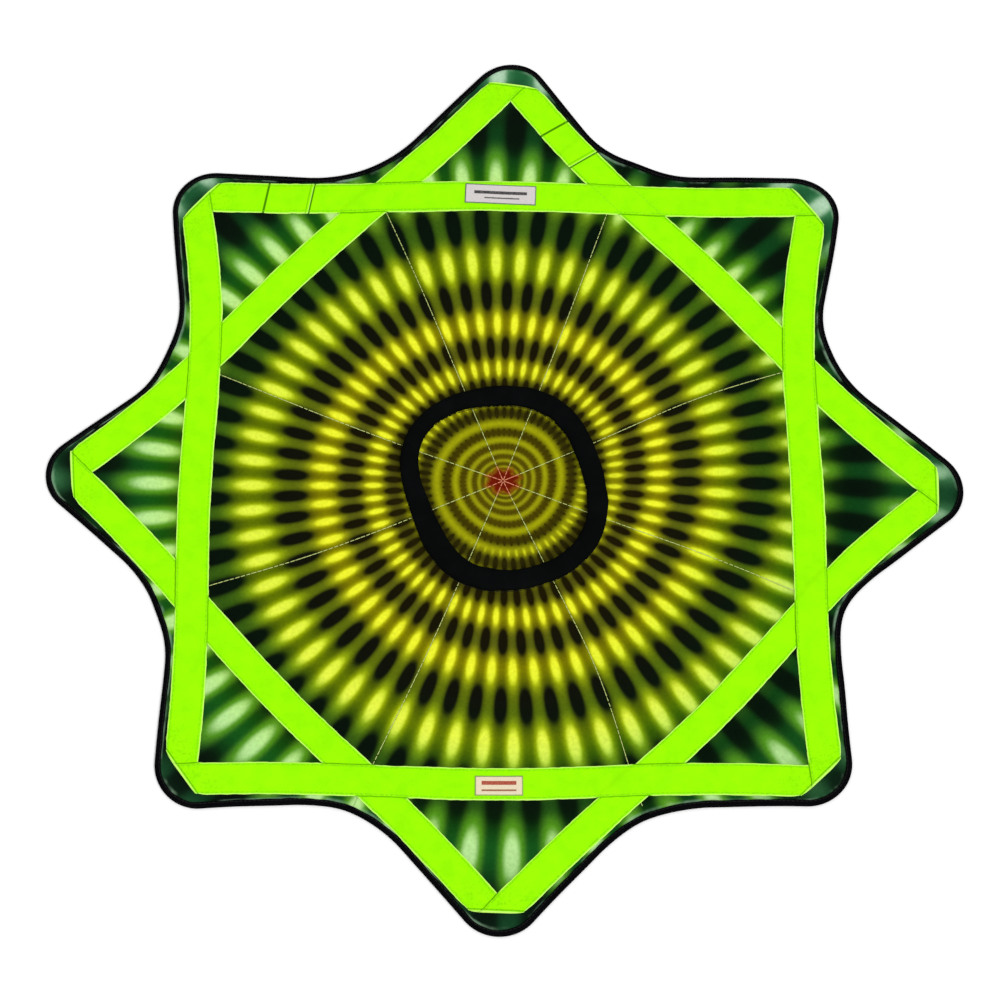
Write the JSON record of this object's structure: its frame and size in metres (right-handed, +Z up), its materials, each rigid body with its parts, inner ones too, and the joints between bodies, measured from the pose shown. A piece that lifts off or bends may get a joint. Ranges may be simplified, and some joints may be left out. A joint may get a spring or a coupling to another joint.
{
  "type": "star-shaped spinning cloth",
  "caption": "Flat lined star of printed cloth with bright tape squares, black bound edge and a soft raised ring at its centre; the points fold.",
  "frame": {"origin": "under the middle of the star, on the surface that the cloth lies on", "axes": "+Z up, out of the printed face; +X through one point of the star, +Y through the point with the long label beside it"},
  "size_m": [0.6, 0.6, 0.0092],
  "materials": {
    "printed_cloth": "smooth printed weave, slight sheen",
    "lining_cloth": "plain matt weave",
    "neon_tape": "fluorescent woven tape, matt",
    "edge_binding": "ribbed binding tape",
    "ring_fabric": "soft stretch cloth",
    "ring_core": "foam cord, hidden",
    "thread": "twisted sewing thread",
    "woven_label": "woven label, fine rib"
  },
  "bodies": {
    "centre": {"backing_centre": "lining_cloth", "face_centre": "printed_cloth", "stitch_line_1": "thread", "stitch_line_2": "thread", "stitch_line_3": "thread", "stitch_line_4": "thread", "stitch_line_5": "thread", "stitch_line_6": "thread", "stitch_line_7": "thread", "stitch_line_8": "thread", "lower_tape_side_1": "neon_tape", "lower_tape_side_2": "neon_tape", "lower_tape_side_3": "neon_tape", "lower_tape_side_4": "neon_tape", "upper_tape_side_1": "neon_tape", "upper_tape_side_2": "neon_tape", "upper_tape_side_3": "neon_tape", "upper_tape_side_4": "neon_tape", "ring_cover": "ring_fabric", "ring_core": "ring_core", "long_label": "woven_label", "short_label": "woven_label"},
    "point_1": {"backing_point_1": "lining_cloth", "face_point_1": "printed_cloth", "edge_binding_1": "edge_binding", "lower_tape_corner_1": "neon_tape"},
    "point_2": {"backing_point_2": "lining_cloth", "face_point_2": "printed_cloth", "edge_binding_2": "edge_binding", "upper_tape_corner_1": "neon_tape"},
    "point_3": {"backing_point_3": "lining_cloth", "face_point_3": "printed_cloth", "edge_binding_3": "edge_binding", "lower_tape_corner_2": "neon_tape"},
    "point_4": {"backing_point_4": "lining_cloth", "face_point_4": "printed_cloth", "edge_binding_4": "edge_binding", "upper_tape_corner_2": "neon_tape"},
    "point_5": {"backing_point_5": "lining_cloth", "face_point_5": "printed_cloth", "edge_binding_5": "edge_binding", "lower_tape_corner_3": "neon_tape"},
    "point_6": {"backing_point_6": "lining_cloth", "face_point_6": "printed_cloth", "edge_binding_6": "edge_binding", "upper_tape_corner_3": "neon_tape"},
    "point_7": {"backing_point_7": "lining_cloth", "face_point_7": "printed_cloth", "edge_binding_7": "edge_binding", "lower_tape_corner_4": "neon_tape"},
    "point_8": {"backing_point_8": "lining_cloth", "face_point_8": "printed_cloth", "edge_binding_8": "edge_binding", "upper_tape_corner_4": "neon_tape"}
  },
  "joints": [
    {"name": "fold_1", "type": "hinge", "parent": "centre", "child": "point_1", "pos_m": [0.22265, 0, 0.0031], "axis": [0, -1, 0], "range_deg": [-90, 150]},
    {"name": "fold_2", "type": "hinge", "parent": "centre", "child": "point_2", "pos_m": [0.15744, 0.15744, 0.0031], "axis": [0.7071, -0.7071, 0], "range_deg": [-90, 150]},
    {"name": "fold_3", "type": "hinge", "parent": "centre", "child": "point_3", "pos_m": [0, 0.22265, 0.0031], "axis": [1, 0, 0], "range_deg": [-90, 150]},
    {"name": "fold_4", "type": "hinge", "parent": "centre", "child": "point_4", "pos_m": [-0.15744, 0.15744, 0.0031], "axis": [0.7071, 0.7071, 0], "range_deg": [-90, 150]},
    {"name": "fold_5", "type": "hinge", "parent": "centre", "child": "point_5", "pos_m": [-0.22265, 0, 0.0031], "axis": [0, 1, 0], "range_deg": [-90, 150]},
    {"name": "fold_6", "type": "hinge", "parent": "centre", "child": "point_6", "pos_m": [-0.15744, -0.15744, 0.0031], "axis": [-0.7071, 0.7071, 0], "range_deg": [-90, 150]},
    {"name": "fold_7", "type": "hinge", "parent": "centre", "child": "point_7", "pos_m": [0, -0.22265, 0.0031], "axis": [-1, 0, 0], "range_deg": [-90, 150]},
    {"name": "fold_8", "type": "hinge", "parent": "centre", "child": "point_8", "pos_m": [0.15744, -0.15744, 0.0031], "axis": [-0.7071, -0.7071, 0], "range_deg": [-90, 150]}
  ]
}
